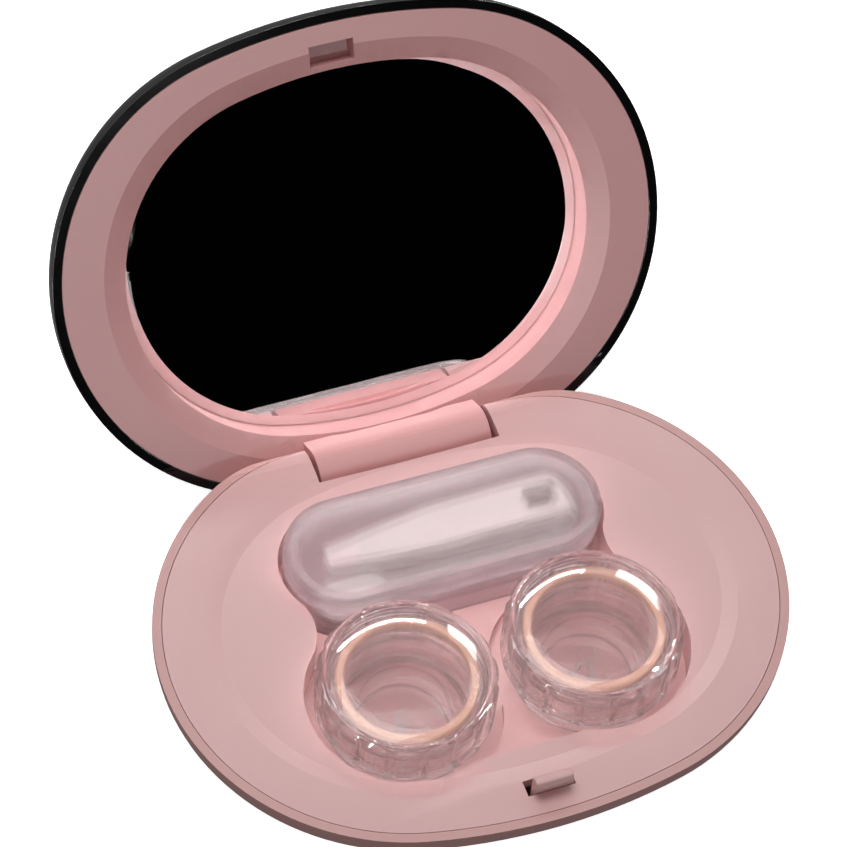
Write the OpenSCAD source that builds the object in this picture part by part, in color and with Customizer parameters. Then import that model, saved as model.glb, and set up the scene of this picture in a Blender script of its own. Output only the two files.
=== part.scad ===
// Contact lens travel case: an oval flip-top compact with a mirror in its lid, two screw-top
// lens pots, a long tool box with tweezers and an applicator, and a push-button latch.
// Origin: centre of the resting face. +X right along the hinge, +Y to the hinge, +Z up.

/* [Case outline] */
// Overall width of the case, left to right
case_w = 96.8; // [92:0.2:118]
// Overall depth of the case, front to back
case_d = 75.6; // [74:0.2:92]

/* [Base] */
// Height of the base from the table to its rim
base_h = 15; // [14.6:0.1:18]
// Wall of the lower shell
shell_wall = 1.6; // [1.3:0.1:1.9]
// Width of the shell's rim round the tray
rim_w = 1.4; // [1.2:0.1:1.7]
// Groove between two fixed mouldings
seam_gap = 0.1; // [0.05:0.01:0.15]
// Thickness of the inner tray
tray_t = 2; // [1.6:0.1:2.2]
// Distance from the outline to the crease of the tray's shallow dish
dish_inset = 7.7; // [7:0.1:8.4]
// Depth of the tray's shallow dish
dish_depth = 0.5; // [0.3:0.1:0.8]
// Wall of the tray's pocket
pocket_wall = 1.2; // [1:0.1:1.4]

/* [Lid] */
// Angle from shut to fully open, as shown
lid_open = 124.6; // [100:0.1:126]
// Gap between the shut lid and the base
lid_gap = 0.15; // [0.1:0.05:0.3]
// Wall of the lid's cover
cover_wall = 1.4; // [1.2:0.1:1.6]
// Thickness of the lid's inner frame
frame_t = 1.2; // [1:0.1:1.4]
// Distance from the outline to the mirror opening, at the sides
opening_inset_x = 11.5; // [11:0.1:12.5]
// Distance from the outline to the mirror opening, front and back
opening_inset_y = 9; // [8.6:0.1:9.6]
// Depth of the mirror below the frame's rim
mirror_depth = 5.4; // [5:0.1:5.6]
// Thickness of the mirror
mirror_t = 1.4; // [1:0.1:1.6]

/* [Hinge and latch] */
// Distance of the hinge axis in from the rear of the outline
hinge_inset = 5.8; // [5.6:0.1:6]
// Depth of the hinge axis below the rim
hinge_drop = 3.9; // [3.7:0.1:4.1]
// Length of the lid's hinge barrel
barrel_l = 27.8; // [24:0.1:32]
// Radius of the hinge pin
pin_r = 0.9; // [0.7:0.05:1.1]
// Running clearance of the pin in the barrel
pin_play = 0.05; // [0.03:0.01:0.08]
// Width of the latch's hook
hook_w = 5.8; // [5:0.1:7]
// Travel of the latch button
button_travel = 1.15; // [1:0.05:1.2]
// Width of the latch button
button_w = 12.6; // [10:0.1:14]
// Height of the latch button
button_h = 5.4; // [4.6:0.1:5.6]

/* [Lens pots] */
// Outer radius of a pot's cap
cap_r = 13.5; // [13:0.1:13.8]
// Outer radius of a pot's cup
cup_r = 11.2; // [10.6:0.1:11.4]
// Height of a pot with its cap on
pot_h = 15.5; // [15:0.1:15.8]
// Height of a pot's cap
cap_h = 7.5; // [6.5:0.1:8.5]
// Distance of each pot's axis from the middle
pot_x = 14.7; // [14.5:0.1:16]
// Distance of the pots' axes in front of the middle
pot_y = 11; // [10.5:0.1:11.5]
// Gap round a pot's cap in its well
well_gap = 1.5; // [1:0.1:1.8]

/* [Tool box] */
// Length of the tool box
box_l = 50; // [46:0.2:56]
// Depth of the tool box, front to back
box_d = 19.1; // [18:0.1:19.6]
// Height of the tool box with its lid on
box_h = 11.8; // [11.4:0.1:12]
// Distance of the tool box behind the middle
box_y = 13.56; // [13.4:0.02:13.8]
// Wall of the tool box
box_wall = 1.2; // [1:0.1:1.3]

/* [Hidden] */
$fn = 96;
EPS = 0.01;
BIG = 200;
STEPS = 5;
pink = [0.84, 0.67, 0.67];
dusky_pink = [0.72, 0.55, 0.55];
clear_plastic = [0.93, 0.9, 0.9, 0.35];
frosted = [0.86, 0.82, 0.86, 0.6];

// Outlines are [half width, half depth] of an oval of four tangent arcs. Its end and side arcs
// meet on lines through their centres, which rise by oval_run, a 9-40-41 triangle.
outline = [case_w/2, case_d/2];
opening = outline - [opening_inset_x, opening_inset_y];
oval_run = [9, 40];

// Base heights
tray_z = base_h - tray_t;
rim_ledge = 3;
lip_h = 1;
shoulder_r = 6;
shoulder_turn = 34;
belly_r = 40;
belly_turn = 44;
foot_r = 3;

// Lid heights, lid shut
lid_z = base_h + lid_gap;
cover_lip = 1.5;
cover_r = 7.5;
cover_turn = 62;
dome_r = 26;
flare_w = 3.55;
flare_h = 1;
tub_chamfer = 1;
mirror_z = lid_z + mirror_depth;
tape_t = 0.4;
tape_inset = 6;
lid_floor_z = mirror_z + mirror_t + tape_t + 0.2;
trim_gap = 0.12;
trim_y = outline[1] - 10.4;
trim_rise = 5.6;

// Hinge
hinge_y = outline[1] - hinge_inset;
hinge_z = base_h - hinge_drop;
barrel_r = hinge_drop - 0.05;
swing_r = barrel_r - 0.03;
swing_steps = 8;
notch_side = 0.75;
ear_l = 8;
notch_half = barrel_l/2 + notch_side;
notch_y = hinge_y - barrel_r - 0.25;
notch_r = barrel_r + 0.65;
ear_half = notch_half + ear_l;
pin_l = 2*ear_half - 4;

// Latch
hook_y = -outline[1] + 5;
hook_t = 1.1;
nose_l = 1;
nose_z = lid_z + frame_t + 0.1;
hook_gap = 0.4;
slot_d = 3.5;
slot_wall = 0.8;
hook_top = base_h + 3.6;
slot_side = 0.8;
button_z = base_h - 3 - button_h/2;
button_gap = 0.12;
button_back = -outline[1] + 4.2;
spring_r = 1.4;
spring_wire = 0.25;
spring_turns = 4;
stop_y = -outline[1] + 10.2;
stop_t = 1;

// Pots
pot_rise = 4.9;
cup_z = base_h + pot_rise - pot_h;
cap_top = cup_z + pot_h;
cap_t = 1.2;
cap_wall = 1.5;
gasket_t = 1.3;
cup_wall = 1.6;
gasket_r = cup_r - 0.7;
cup_top = cap_top - cap_t - gasket_t - 0.1;
well_r = cap_r + well_gap;
well_z = cup_z + 3.1;
socket_gap = 0.4;
thread_w = 0.5;
thread_pitch = 3.2;
thread_drop = 4.9;

// Tool box
box_rise = 3.3;
box_top = base_h + box_rise;
box_z = box_top - box_h;
box_half = (box_l - box_d)/2;
box_end = box_d/2;
seat_gap = 0.65;
lid_skirt = 4.1;
lip_z = box_top - lid_skirt;
lid_shoulder = 1.4;
neck_r = box_end - box_wall - 0.15;
store_r = neck_r - 1;
store_z = box_z + box_wall;

// The tray's wall bulges in between the box seat and each pot well, touching both
bulge_r = 8.7;
seat_end = [box_half, box_y];
well_mid = [pot_x, -pot_y];
bulge = meet(seat_end, box_end + seat_gap + bulge_r, well_mid, well_r + bulge_r);
mid_z = base_h - 6;

// Tweezers and applicator, side by side
tool_z = store_z + 0.1;
tweezer_y = box_y + store_r - 4.5;
tweezer_w = 7;
tweezer_tip_w = 3;
tweezer_bend = 3;
tweezer_arm = 1.2;
bend_x = box_half + 4;
tip_x = -box_half - 2;
tip_gap = 0.25;
soft_share = 0.86;
arm_steps = 6;
window_l = 5;
window_w = 3.6;
stick_r = 1.2;
stick_l = 2*box_half;
stick_x = -box_half + 0.5;
stick_y = box_y - store_r + 3.6;
paddle_r = 3;

// Unit of the oval's triangle, and the radii of its end and side arcs
function oval_unit(o) = (o[0] - o[1])/(oval_run[0] + oval_run[1] - norm(oval_run));
function end_r(o) = o[0] - oval_run[0]*oval_unit(o);
function side_r(o) = o[1] + oval_run[1]*oval_unit(o);
function inset(o, u) = o - [u, u];
function to_micron(x) = round(x*1000)/1000;

// Corner, on the right, of the triangle on points a and b with sides ra and rb
function meet(a, ra, b, rb) =
    let (d = b - a, l = norm(d), t = (ra*ra - rb*rb + l*l)/(2*l), h = sqrt(ra*ra - t*t))
    a + t*d/l + h*[-d[1], d[0]]/l;

// Arc of a wall's profile as [inset, z] points, turning from a0 to a1, up or down
function bend(c, r, a0, a1, way) =
    [for (i = [1 : STEPS]) let (t = a0 + (a1 - a0)*i/STEPS) c + r*[-cos(t), way*sin(t)]];

// Profile of the lower shell at t inside its outer face, from the rim to the foot
function shell_profile(t) =
    let (c1 = [shoulder_r, base_h - lip_h],
         c2 = c1 + (belly_r - shoulder_r)*[cos(shoulder_turn), sin(shoulder_turn)],
         p2 = c2 - belly_r*[cos(belly_turn), sin(belly_turn)],
         foot_top = foot_r*(1 - sin(belly_turn)),
         foot_u = p2[0] + (p2[1] - foot_top)*tan(belly_turn),
         c3 = [foot_u + foot_r*cos(belly_turn), foot_r])
    concat([[t, c1[1]]],
           bend(c1, shoulder_r - t, 0, shoulder_turn, -1),
           bend(c2, belly_r - t, shoulder_turn, belly_turn, -1),
           [c3 - (foot_r - t)*[cos(belly_turn), sin(belly_turn)]],
           bend(c3, foot_r - t, belly_turn, 90, -1));

// Profile of the lid's cover at t inside its outer face, from the rim to the dome
function cover_profile(t) =
    let (c1 = [cover_r, lid_z + cover_lip],
         c2 = c1 + (dome_r - cover_r)*[cos(cover_turn), -sin(cover_turn)])
    concat([[t, lid_z], [t, c1[1]]],
           bend(c1, cover_r - t, 0, cover_turn, 1),
           bend(c2, dome_r - t, cover_turn, 90, 1));

// Sweeps a profile of [inset, z] points round a four-arc oval and fills it in. Each arc is cut
// to its wedge between the lines where the arcs meet.
module oval_body(o, pts) {
    mid = [o[0] - end_r(o), 0];
    far = mid + 5*oval_run;
    for (m = [0, 1]) {
        mirror([m, 0, 0])
            wedge([mid, [far[0], -far[1]], [3*BIG, -far[1]], [3*BIG, far[1]], far])
                translate(mid) rotate_extrude() filled_profile(end_r(o), pts);
        mirror([0, m, 0])
            wedge([mid, far, [-far[0], far[1]], [-mid[0], 0]])
                translate([0, o[1] - side_r(o), 0])
                    rotate_extrude($fn = 240) filled_profile(side_r(o), pts);
    }
}

module wedge(pts) {
    intersection() {
        children();
        linear_extrude(BIG, center = true) polygon(pts);
    }
}

module filled_profile(r, pts) {
    last = len(pts) - 1;
    polygon(concat([for (p = pts) [r - to_micron(p[0]), to_micron(p[1])]],
                   [[0, to_micron(pts[last][1])], [0, to_micron(pts[0][1])]]));
}

// Straight-walled oval between two heights
module oval_plate(o, z0, z1) {
    oval_body(o, [[0, z0], [0, z1]]);
}

// Sweeps a profile of [inset, z] points round a stadium of end radius r and fills it in
module stadium_body(half, r, pts) {
    right = [for (p = pts) [r - to_micron(p[0]), to_micron(p[1])]];
    left = [for (i = [len(pts) - 1 : -1 : 0]) [-right[i][0], right[i][1]]];
    for (m = [0, 1])
        mirror([m, 0, 0])
            translate([half, 0, 0]) rotate(-90) rotate_extrude(angle = 180) filled_profile(r, pts);
    translate([-half, 0, 0])
        rotate([90, 0, 90]) linear_extrude(2*half) polygon(concat(right, left));
}

module stadium_plate(half, r, z0, z1) {
    stadium_body(half, r, [[0, z0], [0, z1]]);
}

module block(x0, x1, y0, y1, z0, z1) {
    translate([x0, y0, z0]) cube([x1 - x0, y1 - y0, z1 - z0]);
}

// Cylinder along X, centred on the hinge axis
module hinge_rod(r, l) {
    translate([-l/2, hinge_y, hinge_z]) rotate([0, 90, 0]) cylinder(r = r, h = l);
}

// Turns the shut lid to its open place
module opened() {
    translate([0, hinge_y, hinge_z]) rotate([-lid_open, 0, 0]) translate([0, -hinge_y, -hinge_z])
        children();
}

// Room that the swinging lid needs behind the hinge: all that lies outside a round of facets
// about the axis, down to the tangent plane of the open lid
module lid_swing() {
    last = 90 - lid_open;
    round = [for (i = [0 : swing_steps]) let (a = 90 + (last - 90)*i/swing_steps) swing_r*[cos(a), sin(a)]];
    down = round[swing_steps] + 30*[cos(last - 90), sin(last - 90)];
    translate([-BIG/2, hinge_y, hinge_z])
        rotate([90, 0, 90])
            linear_extrude(BIG) polygon(concat(round, [down, [60, -40], [60, 30], [0, 30]]));
}

// Notch in the base for the lid's hinge barrel and its web
module hinge_notch() {
    block(-notch_half, notch_half, notch_y, outline[1] + 1, hinge_z, base_h + 1);
    hinge_rod(notch_r, 2*notch_half);
}

module button_outline(gap, y0, y1) {
    translate([0, y1, button_z])
        rotate([90, 0, 0])
            stadium_plate((button_w - button_h)/2, button_h/2 + gap, 0, y1 - y0);
}

// Post in the shell that the latch spring pushes against
module spring_stop() {
    block(-2.6, 2.6, stop_y - stop_t, stop_y, 0, button_z + 2.2);
}

// Hollow of the lower shell, around the hinge block and the spring's post
module shell_hollow() {
    wall = [for (p = shell_profile(shell_wall)) if (p[1] < tray_z) [max(p[0], rim_ledge), p[1]]];
    difference() {
        oval_body(outline, concat([[rim_ledge, tray_z + 0.5]], wall));
        block(-ear_half, ear_half, notch_y - 1.2, outline[1], 0, tray_z);
        spring_stop();
    }
}

module lower_shell() {
    color(dusky_pink)
    difference() {
        difference() {
            difference() {
                difference() {
                    oval_body(outline, concat([[0, base_h]], shell_profile(0)));
                    lid_swing();
                }
                oval_plate(inset(outline, rim_w), tray_z, base_h + 1);
            }
            shell_hollow();
        }
        hinge_notch();
        hinge_rod(pin_r, pin_l);
        button_outline(button_gap, -outline[1] - 1, button_back + 3);
    }
}

// The tray's pocket: the tool box's seat, the two pot wells and the floor between them
module pocket(grow) {
    up = base_h + 1;
    translate([0, box_y, 0])
        stadium_plate(box_half, box_end + seat_gap + grow, box_z - 0.1 - grow, up);
    for (s = [-1, 1])
        translate([s*pot_x, -pot_y, 0]) {
            translate([0, 0, well_z - grow]) cylinder(r = well_r + grow, h = up - well_z + grow);
            translate([0, 0, cup_z - 0.1 - grow])
                cylinder(r = cup_r + socket_gap + grow, h = up - cup_z + grow);
        }
    difference() {
        translate([0, 0, mid_z - grow])
            linear_extrude(up - mid_z + grow)
                polygon([seat_end, bulge, well_mid, [-well_mid[0], well_mid[1]],
                         [-bulge[0], bulge[1]], [-seat_end[0], seat_end[1]]]);
        for (s = [-1, 1])
            translate([s*bulge[0], bulge[1], 0]) cylinder(r = bulge_r + 0.1 - grow, h = BIG, center = true);
    }
    block(-pot_x, pot_x, -pot_y - well_r + 1.2 - grow, -pot_y, mid_z - grow, up);
}

module inner_tray() {
    tray = inset(outline, rim_w + seam_gap);
    color(pink)
    difference() {
        union() {
            oval_plate(tray, tray_z, base_h);
            intersection() {
                pocket(pocket_wall);
                translate([-BIG, -BIG, 0]) cube([2*BIG, 2*BIG, base_h - EPS]);
            }
        }
        oval_body(inset(outline, dish_inset),
                  [[0, base_h + 1], [0, base_h], [2.5, base_h - dish_depth]]);
        pocket(0);
        lid_swing();
        hinge_notch();
        block(-hook_w/2 - slot_side, hook_w/2 + slot_side, hook_y - 0.2,
              hook_y + hook_t + button_travel + 0.15, 0, base_h + 1);
    }
}

module hinge_pin() {
    color("silver") hinge_rod(pin_r, pin_l);
}

module push_button() {
    color(dusky_pink)
    intersection() {
        oval_body(outline, shell_profile(0));
        button_outline(0, -outline[1] - 1, button_back);
    }
}

module latch_hook() {
    color(dusky_pink)
    difference() {
        union() {
            block(-hook_w/2, hook_w/2, button_back + 0.02, hook_y + hook_t,
                  button_z - 1.8, button_z + 1.8);
            block(-hook_w/2, hook_w/2, hook_y, hook_y + hook_t, button_z - 1.8, hook_top);
            translate([-hook_w/2, hook_y, 0])
                rotate([90, 0, 90])
                    linear_extrude(hook_w)
                        polygon([[0, nose_z], [-nose_l, nose_z + 0.3], [-nose_l, hook_top - 0.9],
                                 [-nose_l + 0.5, hook_top], [0.2, hook_top], [0.2, nose_z]]);
        }
        block(-hook_w, hook_w, hook_y + hook_t - 0.5, hook_y + hook_t + 1, hook_top - 0.5, BIG);
    }
}

// Coil of round wire, swept along a helix with flat-sided rings
module latch_spring() {
    sides = 8;
    per_turn = 14;
    rings = spring_turns*per_turn;
    y0 = hook_y + hook_t + 0.05 + spring_wire;
    rise = stop_y - stop_t - 0.05 - spring_wire - y0;
    mid = spring_r - spring_wire;
    points = [for (i = [0 : rings]) for (j = [0 : sides - 1])
        let (a = 360*i/per_turn, b = 360*j/sides, r = mid + spring_wire*cos(b))
        [r*cos(a), y0 + rise*i/rings + spring_wire*sin(b), button_z + r*sin(a)]];
    walls = [for (i = [0 : rings - 1]) for (j = [0 : sides - 1])
        let (k = (j + 1) % sides)
        [i*sides + j, i*sides + k, (i + 1)*sides + k, (i + 1)*sides + j]];
    ends = [[for (j = [sides - 1 : -1 : 0]) j], [for (j = [0 : sides - 1]) rings*sides + j]];
    color("silver") polyhedron(points, concat(walls, ends));
}

// Part of the lid's side that belongs to the pink trim at the hinge
module trim_zone(grow) {
    translate([-BIG/2, 0, lid_z])
        rotate([90, 0, 90])
            linear_extrude(BIG)
                polygon([[trim_y - grow, -1], [trim_y - grow, 0.4],
                         [trim_y + 3.6 - grow, trim_rise + grow],
                         [outline[1] + 1, trim_rise + grow], [outline[1] + 1, -1]]);
}

module cover_shell() {
    difference() {
        oval_body(outline, cover_profile(0));
        oval_body(outline, concat([[cover_wall, lid_z - 1]], cover_profile(cover_wall)));
    }
}

module lid_cover() {
    color([0.04, 0.04, 0.045])
    opened() difference() {
        cover_shell();
        trim_zone(trim_gap);
    }
}

module lid_rear_trim() {
    color(pink)
    opened() intersection() {
        cover_shell();
        trim_zone(0);
    }
}

module lid_frame() {
    rim = inset(outline, cover_wall + seam_gap);
    crease = inset(opening, -flare_w);
    tub = inset(opening, -frame_t);
    slot_y = hook_y - hook_gap;
    slot_half = hook_w/2 + hook_gap + 0.2;
    slot_top = hook_top + hook_gap;
    color(pink)
    opened() difference() {
        union() {
            oval_plate(rim, lid_z, lid_z + frame_t);
            oval_plate(crease, lid_z, lid_z + flare_h + frame_t);
            block(-slot_half - slot_wall, slot_half + slot_wall, slot_y, slot_y + slot_d,
                  lid_z + frame_t/2, slot_top + slot_wall);
            oval_body(tub, [[0, lid_z], [0, lid_floor_z + frame_t - tub_chamfer],
                            [tub_chamfer, lid_floor_z + frame_t]]);
            hinge_rod(barrel_r, barrel_l);
            block(-barrel_l/2, barrel_l/2, hinge_y - barrel_r, hinge_y + 1.6, hinge_z, lid_z + frame_t);
        }
        oval_body(crease, [[-0.7, lid_z - 0.2], [flare_w, lid_z + flare_h]]);
        oval_plate(opening, lid_z - 1, lid_floor_z);
        block(-slot_half, slot_half, slot_y, slot_y + slot_d, lid_z - 1, slot_top);
        block(-slot_half, slot_half, slot_y - nose_l, slot_y + 1, lid_z + frame_t, slot_top);
        hinge_rod(pin_r + pin_play, BIG);
    }
}

module mirror_glass() {
    color([0.1, 0.1, 0.11])
    opened()
        oval_body(inset(opening, 0.1), [[1.7, mirror_z], [0, mirror_z + 0.45], [0, mirror_z + mirror_t]]);
}

module mirror_tape() {
    color("white")
    opened()
        oval_plate(inset(opening, tape_inset), mirror_z + mirror_t + 0.05, lid_floor_z - 0.05);
}

// A lens pot's three pieces, drawn on their own axis
module cup_body() {
    bore = cup_r - cup_wall;
    floor_z = cup_z + 2;
    color(clear_plastic)
    rotate_extrude()
        polygon(concat([[0, cup_z + 0.5], [7, cup_z + 0.5], [7.4, cup_z], [cup_r, cup_z]],
            [for (k = [0, 1])
                let (z = cup_top - thread_drop + k*thread_pitch)
                each [[cup_r, z], [cup_r + thread_w, z + 0.35], [cup_r + thread_w, z + 0.65], [cup_r, z + 1]]],
            [[cup_r, cup_top], [bore, cup_top]],
            [for (i = [0 : STEPS]) let (a = 90*i/STEPS) [bore - 3 + 3*cos(a), floor_z + 3 - 3*sin(a)]],
            [[0, floor_z]]));
}

module gasket_ring() {
    color([0.93, 0.72, 0.6])
    rotate_extrude()
        translate([gasket_r - 1.2, cup_top + 0.05]) square([1.2, gasket_t]);
}

module cap_body() {
    color(clear_plastic)
    rotate_extrude()
        polygon([[0, cap_top - cap_t], [0, cap_top], [cap_r - 0.8, cap_top], [cap_r, cap_top - 0.8],
                 [cap_r, cap_top - cap_h], [cap_r - cap_wall, cap_top - cap_h],
                 [cap_r - cap_wall, cap_top - cap_t]]);
}

module left_cup() { translate([-pot_x, -pot_y, 0]) cup_body(); }
module left_gasket() { translate([-pot_x, -pot_y, 0]) gasket_ring(); }
module left_cap() { translate([-pot_x, -pot_y, 0]) cap_body(); }
module right_cup() { translate([pot_x, -pot_y, 0]) cup_body(); }
module right_gasket() { translate([pot_x, -pot_y, 0]) gasket_ring(); }
module right_cap() { translate([pot_x, -pot_y, 0]) cap_body(); }

module tool_box_base() {
    color(frosted)
    translate([0, box_y, 0])
        difference() {
            stadium_body(box_half, box_end - 0.3,
                [[1, box_z], [0, box_z + 1], [0, lip_z - 0.15],
                 [box_end - 0.3 - neck_r, lip_z - 0.15], [box_end - 0.3 - neck_r, box_top - box_wall - 0.3]]);
            stadium_plate(box_half, store_r, store_z, box_top);
        }
}

module tool_box_lid() {
    color(frosted)
    translate([0, box_y, 0])
        difference() {
            stadium_body(box_half, box_end, concat([[0, lip_z], [0, box_top - lid_shoulder]],
                bend([lid_shoulder, box_top - lid_shoulder], lid_shoulder, 0, 90, 1)));
            stadium_plate(box_half, box_end - box_wall, lip_z - 1, box_top - box_wall);
        }
}

// Half the gap between the tweezers' arms, at share f of the way from the bend to the tips
function arm_gap(f) = tip_gap + (tweezer_bend - tweezer_arm - tip_gap)*cos(90*f);

// The tweezers' two arms, one over the other, from share f0 to share f1
module arms(f0, f1) {
    shares = [for (i = [0 : arm_steps]) f0 + (f1 - f0)*i/arm_steps];
    near = [for (f = shares) [bend_x + (tip_x - bend_x)*f, arm_gap(f)]];
    far = [for (i = [arm_steps : -1 : 0]) near[i] + [0, tweezer_arm]];
    intersection() {
        translate([0, tweezer_w/2, 0])
            rotate([90, 0, 0])
                linear_extrude(tweezer_w) {
                    polygon(concat(near, far));
                    mirror([0, 1]) polygon(concat(near, far));
                }
        linear_extrude(BIG, center = true)
            polygon([[bend_x + 1, tweezer_w/2], [0, tweezer_w/2], [tip_x - 1, tweezer_tip_w/2],
                     [tip_x - 1, -tweezer_tip_w/2], [0, -tweezer_w/2], [bend_x + 1, -tweezer_w/2]]);
    }
}

module tweezers() {
    color("white")
    intersection() {
        translate([0, box_y, 0]) stadium_plate(box_half, store_r - 0.1, store_z, box_top);
        translate([0, tweezer_y, tool_z + tweezer_bend]) tweezer_body();
    }
}

// The tweezers about the middle of their bend, before their corners are rounded to the box
module tweezer_body() {
    difference() {
        union() {
            arms(-0.01, soft_share);
            translate([bend_x, tweezer_w/2, 0])
                rotate([90, 90, 0])
                    rotate_extrude(angle = 180)
                        translate([tweezer_bend - tweezer_arm, 0]) square([tweezer_arm, tweezer_w]);
        }
        block(bend_x - window_l, bend_x, -window_w/2, window_w/2, -BIG/2, BIG/2);
    }
}

module tweezer_tips() {
    color([0.95, 0.93, 0.92])
    translate([0, tweezer_y, tool_z + tweezer_bend]) arms(soft_share, 1);
}

// Places a piece of the applicator: its paddle's middle is the origin, its stick runs along +X
module applicator() {
    translate([stick_x, stick_y, tool_z + stick_r]) children();
}

module applicator_stick() {
    color("white")
    applicator() {
        stadium_plate(2.4, paddle_r, -stick_r, stick_r);
        translate([4, 0, 0]) rotate([0, 90, 0]) cylinder(r = stick_r, h = stick_l - 4);
    }
}

module applicator_tip() {
    color([0.93, 0.9, 0.9])
    applicator()
        translate([stick_l, 0, 0])
            rotate([0, 90, 0])
                difference() {
                    cylinder(r = stick_r, h = 4);
                    translate([0, 0, 2]) cylinder(r1 = 0.5, r2 = 1, h = 2.01);
                }
}

lower_shell();
inner_tray();
hinge_pin();
push_button();
latch_hook();
latch_spring();
lid_frame();
lid_cover();
lid_rear_trim();
mirror_glass();
mirror_tape();
left_cup();
left_gasket();
left_cap();
right_cup();
right_gasket();
right_cap();
tool_box_base();
tool_box_lid();
tweezers();
tweezer_tips();
applicator_stick();
applicator_tip();
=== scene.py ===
import math

import bmesh
import bpy
from mathutils import Matrix, Vector


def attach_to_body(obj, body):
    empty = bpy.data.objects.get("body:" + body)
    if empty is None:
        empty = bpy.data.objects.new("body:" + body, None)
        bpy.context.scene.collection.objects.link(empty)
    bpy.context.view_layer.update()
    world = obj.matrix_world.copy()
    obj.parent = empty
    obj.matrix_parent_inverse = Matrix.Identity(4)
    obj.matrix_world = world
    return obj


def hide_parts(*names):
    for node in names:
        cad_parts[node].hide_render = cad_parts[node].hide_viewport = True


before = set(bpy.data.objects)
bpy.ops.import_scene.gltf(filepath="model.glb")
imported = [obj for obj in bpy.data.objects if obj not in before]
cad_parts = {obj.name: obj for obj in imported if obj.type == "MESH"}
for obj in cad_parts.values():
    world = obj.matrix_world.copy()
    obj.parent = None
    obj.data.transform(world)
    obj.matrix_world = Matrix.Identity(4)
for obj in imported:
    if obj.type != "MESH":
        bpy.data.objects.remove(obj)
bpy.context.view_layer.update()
scene = bpy.context.scene

# Sizes and places are in millimetres, and become metres as each mesh, lamp or camera is made
MM = 0.001

# ---------------------------------------------------------------- materials
MOTTLE = 60.0  # scale of the soft patches in every colour


def noise(tree, where, scale, detail):
    """A noise texture that is fixed to the object."""
    node = tree.nodes.new("ShaderNodeTexNoise")
    node.inputs["Scale"].default_value = scale
    node.inputs["Detail"].default_value = detail
    tree.links.new(where.outputs["Object"], node.inputs["Vector"])
    return node


def finish_of(name, colour, other, rough, spread=0.06, grain=900.0, bump=0.04, depth=0.00005,
              metallic=0.0, transmission=0.0, ior=1.49, alpha=1.0, subsurface=0.0, emission=0.0,
              specular=0.5):
    """A procedural finish: two close colours mixed by soft noise, uneven roughness and a fine grain."""
    material = bpy.data.materials.new(name)
    material.use_nodes = True
    tree = material.node_tree
    tree.nodes.clear()
    add = tree.nodes.new
    link = tree.links.new
    out = add("ShaderNodeOutputMaterial")
    shader = add("ShaderNodeBsdfPrincipled")
    link(shader.outputs["BSDF"], out.inputs["Surface"])
    where = add("ShaderNodeTexCoord")

    patches = noise(tree, where, MOTTLE, 3.0)
    mix = add("ShaderNodeMix")
    mix.data_type = "RGBA"
    mix.inputs["A"].default_value = (*colour, 1.0)
    mix.inputs["B"].default_value = (*other, 1.0)
    link(patches.outputs["Fac"], mix.inputs["Factor"])
    link(mix.outputs["Result"], shader.inputs["Base Color"])

    fine = noise(tree, where, grain, 2.0)
    span = add("ShaderNodeMapRange")
    span.inputs["To Min"].default_value = max(0.0, rough - spread)
    span.inputs["To Max"].default_value = rough + spread
    link(fine.outputs["Fac"], span.inputs["Value"])
    link(span.outputs["Result"], shader.inputs["Roughness"])
    relief = add("ShaderNodeBump")
    relief.inputs["Strength"].default_value = bump
    relief.inputs["Distance"].default_value = depth
    link(fine.outputs["Fac"], relief.inputs["Height"])
    link(relief.outputs["Normal"], shader.inputs["Normal"])

    shader.inputs["Metallic"].default_value = metallic
    shader.inputs["IOR"].default_value = ior
    shader.inputs["Alpha"].default_value = alpha
    shader.inputs["Transmission Weight"].default_value = transmission
    shader.inputs["Specular IOR Level"].default_value = specular
    if subsurface:
        shader.inputs["Subsurface Weight"].default_value = subsurface
        shader.inputs["Subsurface Radius"].default_value = (0.0012, 0.0005, 0.0004)
        shader.inputs["Subsurface Scale"].default_value = 1.0
    if emission:
        link(mix.outputs["Result"], shader.inputs["Emission Color"])
        shader.inputs["Emission Strength"].default_value = emission
    return material


PINK = finish_of("pink_tray", (0.645, 0.368, 0.364), (0.625, 0.353, 0.349), 0.50, bump=0.12, specular=0.4)
PINK_LID = finish_of("pink_lid", (0.67, 0.325, 0.325), (0.65, 0.31, 0.31), 0.50, bump=0.12, specular=0.35)
PINK_SHELL = finish_of("pink_shell", (0.60, 0.325, 0.31), (0.58, 0.31, 0.295), 0.5, bump=0.10, specular=0.3)
BLACK = finish_of("black_gloss", (0.004, 0.004, 0.0045), (0.006, 0.006, 0.0065), 0.06, 0.02, grain=300.0,
                  bump=0.01)
MIRROR = finish_of("mirror_silver", (0.88, 0.885, 0.89), (0.86, 0.87, 0.875), 0.012, 0.006, grain=200.0,
                   bump=0.0, metallic=1.0)
TAPE = finish_of("foam_tape", (0.8, 0.8, 0.78), (0.74, 0.74, 0.72), 0.8, grain=2000.0, bump=0.3)
STEEL = finish_of("drawn_wire", (0.55, 0.55, 0.57), (0.48, 0.48, 0.5), 0.28, grain=1200.0, metallic=1.0)
CLEAR = finish_of("clear_acrylic", (1.0, 0.98, 0.98), (0.98, 0.96, 0.965), 0.012, 0.008, grain=90.0,
                  bump=0.05, depth=0.0002, transmission=1.0, alpha=0.72)
FROST = finish_of("frosted_lilac", (0.86, 0.75, 0.78), (0.82, 0.71, 0.74), 0.24, 0.04, grain=1500.0,
                  bump=0.06, transmission=0.80, ior=1.28, alpha=0.62)
MARK = finish_of("clear_mark", (0.98, 0.80, 0.80), (0.95, 0.77, 0.77), 0.3, 0.05, alpha=0.55)
PEACH = finish_of("peach_seal", (0.42, 0.25, 0.20), (0.39, 0.21, 0.16), 0.5, grain=800.0, specular=0.3)
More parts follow.
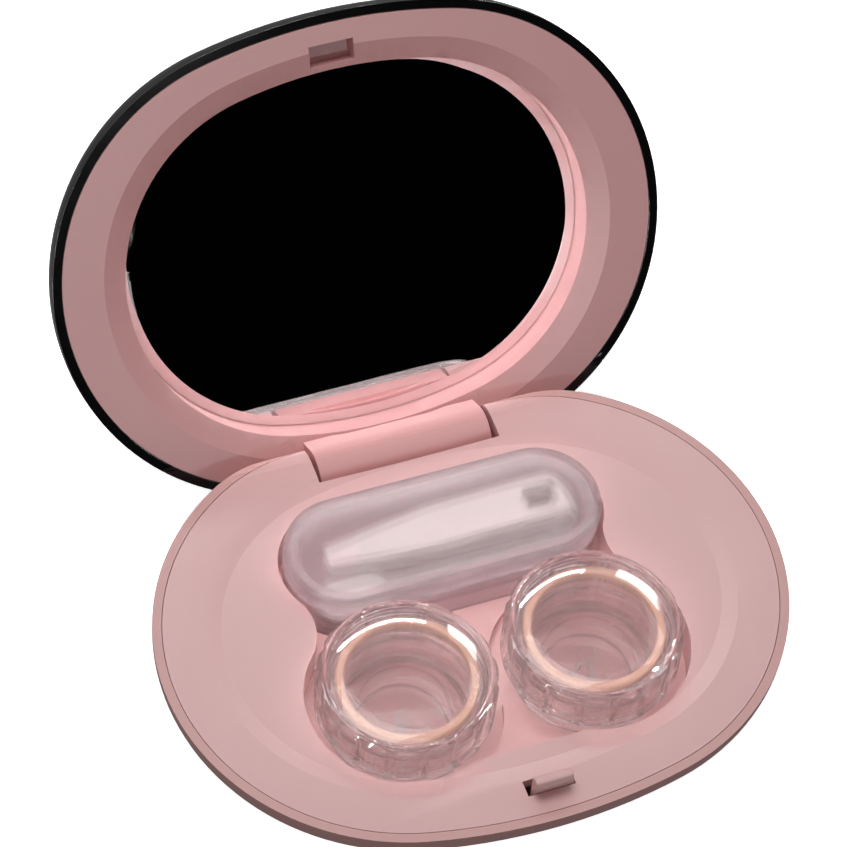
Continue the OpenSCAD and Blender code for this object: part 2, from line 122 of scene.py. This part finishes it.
WHITE = finish_of("white_tool", (0.62, 0.61, 0.57), (0.58, 0.57, 0.53), 0.5)
SOFT = finish_of("soft_silicone", (0.68, 0.64, 0.62), (0.64, 0.60, 0.58), 0.5, grain=700.0, subsurface=0.3)
FLOOR = finish_of("floor_white", (0.95, 0.95, 0.95), (0.93, 0.93, 0.93), 0.9, grain=20.0, bump=0.0,
                  emission=0.92, specular=0.0)
DARK = finish_of("card_black", (0.001, 0.001, 0.001), (0.001, 0.001, 0.001), 1.0, bump=0.0, specular=0.0)

# ---------------------------------------------------------------- mesh helpers
SAME_POINT = 2e-6   # CAD corners this near, in metres, are one corner
FLAT_ANGLE = 0.03   # degrees within which neighbouring facets are one flat face
EDGE_ANGLE = 38     # degrees from which an edge is softened
AXIS_WELD = 0.004   # mm within which points of a turned mesh are merged


def settle(name, me, material, smooth):
    """Makes an object of a mesh, smooth except over edges sharper than smooth degrees."""
    me.materials.clear()
    me.materials.append(material)
    for p in me.polygons:
        p.use_smooth = True
        p.material_index = 0
    me.set_sharp_from_angle(angle=math.radians(smooth))
    ob = bpy.data.objects.new(name, me)
    scene.collection.objects.link(ob)
    return ob


def add_mesh(name, bm, material, smooth=35.0):
    """Makes an object from a bmesh given in millimetres."""
    for v in bm.verts:
        v.co *= MM
    bmesh.ops.recalc_face_normals(bm, faces=bm.faces)
    me = bpy.data.meshes.new(name)
    bm.to_mesh(me)
    bm.free()
    return settle(name, me, material, smooth)


def attach(ob, body, nodes):
    """Lets an object ride on a body, in the place of the CAD nodes it shows."""
    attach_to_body(ob, body)
    if nodes:
        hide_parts(*nodes)


def dress(node, body, material, bevel=0.22, segments=2, smooth=35.0):
    """A copy of a CAD node with merged facets and softened edges."""
    bm = bmesh.new()
    bm.from_mesh(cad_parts[node].data)
    bmesh.ops.remove_doubles(bm, verts=bm.verts, dist=SAME_POINT)
    bmesh.ops.dissolve_limit(bm, angle_limit=math.radians(FLAT_ANGLE), verts=bm.verts, edges=bm.edges)
    bmesh.ops.recalc_face_normals(bm, faces=bm.faces)
    me = bpy.data.meshes.new(node + "_look")
    bm.to_mesh(me)
    bm.free()
    ob = settle(node + "_look", me, material, smooth)
    if bevel:
        soft = ob.modifiers.new("edges", "BEVEL")
        soft.width = bevel * MM
        soft.segments = segments
        soft.limit_method = "ANGLE"
        soft.angle_limit = math.radians(EDGE_ANGLE)
        soft.use_clamp_overlap = True
        soft.harden_normals = True
    attach(ob, body, [node])


def turned_size(node):
    """A round CAD node's centre (x, y), radius, bottom and top, in millimetres."""
    points = [v.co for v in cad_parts[node].data.vertices]
    low, high = ([round(pick(p[i] for p in points) / MM, 3) for i in range(3)] for pick in (min, max))
    centre = ((low[0] + high[0]) / 2, (low[1] + high[1]) / 2)
    return centre, (high[0] - low[0]) / 2, low[2], high[2]


def revolve(profile, centre, steps, radius=None):
    """A profile of (r, z) points turned about an upright axis. radius(r, z, angle) may change r."""
    bm = bmesh.new()
    rings = []
    for i in range(steps):
        a = 2 * math.pi * i / steps
        ring = []
        for r, z in profile:
            q = radius(r, z, a) if radius else r
            ring.append(bm.verts.new((centre[0] + q * math.cos(a), centre[1] + q * math.sin(a), z)))
        rings.append(ring)
    for i in range(steps):
        a, b = rings[i], rings[(i + 1) % steps]
        for k in range(len(profile) - 1):
            bm.faces.new((a[k], b[k], b[k + 1], a[k + 1]))
    bmesh.ops.remove_doubles(bm, verts=bm.verts, dist=AXIS_WELD)
    return bm


# ---------------------------------------------------------------- case, lid and latch
dress("lower_shell", "base", PINK_SHELL, 0.3, smooth=20)
dress("inner_tray", "base", PINK, 0.3, smooth=9)
dress("hinge_pin", "base", STEEL, 0.1)
dress("latch_spring", "base", STEEL, 0.0)
dress("push_button", "latch", PINK_SHELL, 0.3)
dress("latch_hook", "latch", PINK, 0.25)
dress("lid_frame", "lid", PINK_LID, 0.3, smooth=12)
dress("lid_cover", "lid", BLACK, 0.25)
dress("lid_rear_trim", "lid", BLACK, 0.2)
dress("mirror_glass", "lid", MIRROR, 0.0, smooth=4)
dress("mirror_tape", "lid", TAPE, 0.0)

# ---------------------------------------------------------------- lens pots
RIBS = 18             # finger ribs round a cap
RIB_DEPTH = 0.6
CAP_WALL = 1.5
CAP_ROOF = 1.2
FACE_RING = 8.0       # radius of the ring of points that splits a cap's flat faces
CUP_WALL = 1.6
CUP_FLOOR = 2.0       # from the foot's underside to the inside
BOWL_R = 3.0          # rounding between a cup's bore and its floor
FOOT_R = 7.1          # inside of a cup's foot ring
THREADS = 2
THREAD_PITCH = 3.2
THREAD_DROP = 4.9     # from the rim down to the lowest thread
THREAD_H = 0.5
GASKET_W = 1.2
MARK_Y = -0.6         # the mark's middle, in front of the cup's centre


def cap(name):
    """A clear screw cap with finger ribs and a fine groove round its face."""
    centre, r, low, top = turned_size(name)
    bore = r - CAP_WALL
    roof = top - CAP_ROOF
    face = [(0.0, top), (FACE_RING, top), (r - 1.9, top), (r - 1.75, top - 0.12), (r - 1.6, top - 0.12),
            (r - 1.45, top), (r - 1.15, top)]
    edge = [(r - 0.9, top - 0.08), (r - 0.55, top - 0.3), (r - 0.15, top - 0.75), (r, top - 1.1)]
    side = [(r, top - 3.0), (r, top - 5.0), (r, low + 0.6), (r - 0.08, low + 0.2), (r - 0.3, low)]
    inside = [(bore + 0.25, low), (bore, low + 0.25), (bore, top - 2.0), (bore - 0.3, top - 1.4),
              (bore - 0.7, roof), (FACE_RING, roof), (0.0, roof)]

    def ribbed(q, z, a):
        """The side's ribs, which stop short of the cap's edges."""
        if q < r - 0.5 or z > top - 0.55 or z < low + 0.3:
            return q
        return q - RIB_DEPTH * (0.5 + 0.5 * math.cos(RIBS * a)) ** 6

    bm = revolve(face + edge + side + inside, centre, 360, ribbed)
    attach(add_mesh(name + "_clear", bm, CLEAR, 40), name, [name])


def cup(name, letter):
    """A clear lens cup with a foot ring and a thread, and the mark under its floor."""
    centre, r_thread, low, rim = turned_size(name)
    r = r_thread - THREAD_H
    bore = r - CUP_WALL
    floor_z = low + CUP_FLOOR
    foot = [(0.0, low + 0.5), (FOOT_R - 0.7, low + 0.5), (FOOT_R - 0.4, low + 0.4), (FOOT_R - 0.2, low + 0.1),
            (FOOT_R, low), (r - 0.6, low), (r - 0.2, low + 0.15), (r, low + 0.5)]
    waist = [(r, low + 3.8), (r - 0.05, low + 3.9), (r - 0.05, rim - 5.5), (r, rim - 5.3)]
    thread = []
    for k in range(THREADS):
        z = rim - THREAD_DROP + k * THREAD_PITCH
        thread += [(r, z), (r + 0.42, z + 0.32), (r + THREAD_H, z + 0.5), (r + 0.42, z + 0.68), (r, z + 1.0)]
    lip = [(r, rim - 0.3), (r - 0.3, rim), (bore + 0.2, rim), (bore, rim - 0.2)]
    bowl = []
    for i in range(13):
        t = math.radians(90 * i / 12)
        bowl.append((bore - BOWL_R + BOWL_R * math.cos(t), floor_z + BOWL_R - BOWL_R * math.sin(t)))
    bm = revolve(foot + waist + thread + lip + bowl + [(0.0, floor_z)], centre, 180)
    attach(add_mesh(name + "_clear", bm, CLEAR, 40), name, [name])
    bm = mark(letter, centre, low + 0.15, low + 0.5)
    attach(add_mesh(name + "_mark", bm, MARK, 30), name, [])


def bar(x0, y0, x1, y1):
    """The corners of an upright rectangle."""
    return (x0, y0), (x1, y0), (x1, y1), (x0, y1)


# The generic side marks as strokes about their middle, mirrored as they are on the cups' undersides
LETTERS = {
    "left": (bar(-0.5, -2.8, 0.5, 2.8), bar(-3.1, -2.8, -0.5, -1.8)),
    "right": (bar(0.9, -2.8, 1.8, 2.8), bar(-0.7, 1.9, 0.9, 2.8), bar(-0.7, -0.4, 0.9, 0.45),
              bar(-1.7, 0.0, -0.85, 2.4), ((-1.9, -2.8), (-0.95, -2.8), (0.45, -0.4), (-0.45, -0.4))),
}


def mark(letter, centre, low, high):
    """A mark's strokes as low blocks from height low to high."""
    bm = bmesh.new()
    for quad in LETTERS[letter]:
        lower, upper = ([bm.verts.new((centre[0] + x, centre[1] + y + MARK_Y, z)) for x, y in quad]
                        for z in (low, high))
        bm.faces.new(lower)
        bm.faces.new(upper)
        for i in range(4):
            j = (i + 1) % 4
            bm.faces.new((lower[i], lower[j], upper[j], upper[i]))
    return bm


def gasket(name):
    """The peach sealing ring inside a cap."""
    centre, r1, z0, z1 = turned_size(name)
    r0 = r1 - GASKET_W
    profile = [(r1 - 0.15, z0), (r1, z0 + 0.15), (r1, z1 - 0.3), (r1 - 0.12, z1 - 0.08), (r1 - 0.35, z1),
               (r0 + 0.3, z1), (r0 + 0.08, z1 - 0.1), (r0, z1 - 0.3), (r0, z0 + 0.15), (r0 + 0.15, z0),
               (r1 - 0.15, z0)]
    attach(add_mesh(name + "_ring", revolve(profile, centre, 144), PEACH, 50), name, [name])


for side in ("left", "right"):
    cup(side + "_cup", side)
    gasket(side + "_gasket")
    cap(side + "_cap")

# ---------------------------------------------------------------- tool box and tools
dress("tool_box_base", "tool_box", FROST, 0.2)
dress("tool_box_lid", "tool_box_lid", FROST, 0.2, smooth=25)
dress("tweezers", "tweezers", WHITE, 0.25)
dress("tweezer_tips", "tweezers", SOFT, 0.3)
dress("applicator_stick", "applicator", WHITE, 0.5, 3)
dress("applicator_tip", "applicator", SOFT, 0.1)

# ---------------------------------------------------------------- studio
LAMP_TARGET = (0, -10, 15)
# Lamps that only reflections see: name, place, watts, width and height
GLINTS = (("strip_right", (420, -60, 330), 4.0, 24, 360),
          ("strip_left", (-380, -260, 260), 4.0, 24, 360),
          ("strip_back", (60, 420, 420), 3.0, 300, 24),
          ("strip_front", (-60, -420, 260), 3.0, 300, 18),
          ("box_left", (-330, 260, 420), 1.2, 170, 170),
          ("box_right", (330, 330, 380), 0.9, 140, 140))


def sheet(name, width, height, z, material):
    """A level rectangle about the origin, used for the floor and the mirror card."""
    bm = bmesh.new()
    for x, y in ((-1, -1), (1, -1), (1, 1), (-1, 1)):
        bm.verts.new((x * width / 2, y * height / 2, z))
    bm.faces.new(bm.verts)
    ob = add_mesh(name, bm, material)
    return ob


def place_along(ob, place, axis):
    """Moves an object to place with its own Z along axis."""
    turned = axis.to_track_quat("Z", "Y").to_matrix().to_4x4()
    ob.matrix_world = Matrix.Translation(Vector(place) * MM) @ turned


def lamp(name, place, target, power, width, height):
    """An area lamp that shines from place to target."""
    data = bpy.data.lights.new(name, "AREA")
    data.energy = power
    data.shape = "RECTANGLE"
    data.size = width * MM
    data.size_y = height * MM
    ob = bpy.data.objects.new(name, data)
    place_along(ob, place, Vector(place) - Vector(target))
    scene.collection.objects.link(ob)
    return ob


def mirror_card():
    """The dark room in the mirror: a black card that only reflections see."""
    place, target = (62, -220, 150), (0, 45, 45)
    card = sheet("mirror_card", 420, 330, 0, DARK)
    place_along(card, place, Vector(target) - Vector(place))
    card.visible_camera = False
    card.visible_diffuse = False
    card.visible_shadow = False
    card.visible_transmission = False


def room(dim, bright):
    """A soft white dome whose strength goes from dim below the horizon to bright above it."""
    world = bpy.data.worlds.new("soft_room")
    scene.world = world
    world.use_nodes = True
    tree = world.node_tree
    dome = tree.nodes["Background"]
    dome.inputs["Color"].default_value = (1.0, 0.985, 0.98, 1.0)
    where = tree.nodes.new("ShaderNodeTexCoord")
    split = tree.nodes.new("ShaderNodeSeparateXYZ")
    ramp = tree.nodes.new("ShaderNodeMapRange")
    ramp.inputs["From Min"].default_value = -0.5
    ramp.inputs["From Max"].default_value = 0.35
    ramp.inputs["To Min"].default_value = dim
    ramp.inputs["To Max"].default_value = bright
    tree.links.new(where.outputs["Generated"], split.inputs["Vector"])
    tree.links.new(split.outputs["Z"], ramp.inputs["Value"])
    tree.links.new(ramp.outputs["Result"], dome.inputs["Strength"])


ground = sheet("floor", 6000, 6000, -0.02, FLOOR)
ground.visible_diffuse = False
ground.visible_glossy = False
mirror_card()
room(0.17, 0.30)
lamp("overhead", (-120, 160, 900), (0, 0, 0), 4.15, 520, 520)
for label, place, power, width, height in GLINTS:
    glint = lamp(label, place, LAMP_TARGET, power, width, height)
    glint.visible_diffuse = False

# ---------------------------------------------------------------- camera
AZIMUTH, ELEVATION, ROLL = math.radians(-25.68), math.radians(54.78), math.radians(7.02)
LENS = 169.4593               # focal length for a sensor 36 mm wide
DISTANCE = 594.5
PIVOT = Vector((0, 0, 15.0))  # the point the camera turns about
ACROSS, UPWARD = -7.44, 27.19  # the camera's shift off the line through the pivot

back = Vector((math.sin(AZIMUTH) * math.cos(ELEVATION), -math.cos(AZIMUTH) * math.cos(ELEVATION),
               math.sin(ELEVATION)))
level = (-back).cross(Vector((0, 0, 1))).normalized()
upright = level.cross(-back)
right = level * math.cos(ROLL) + upright * math.sin(ROLL)
up = upright * math.cos(ROLL) - level * math.sin(ROLL)
eye = PIVOT + ACROSS * right + UPWARD * up + DISTANCE * back
camera_data = bpy.data.cameras.new("photo_view")
camera_data.lens = LENS
camera_data.sensor_width = 36
camera_data.clip_start = 0.01
camera_data.clip_end = 50
camera = bpy.data.objects.new("photo_view", camera_data)
camera.matrix_world = Matrix.Translation(eye * MM) @ Matrix((right, up, back)).transposed().to_4x4()
scene.collection.objects.link(camera)
scene.camera = camera
scene.view_settings.view_transform = "Standard"

bpy.context.view_layer.update()
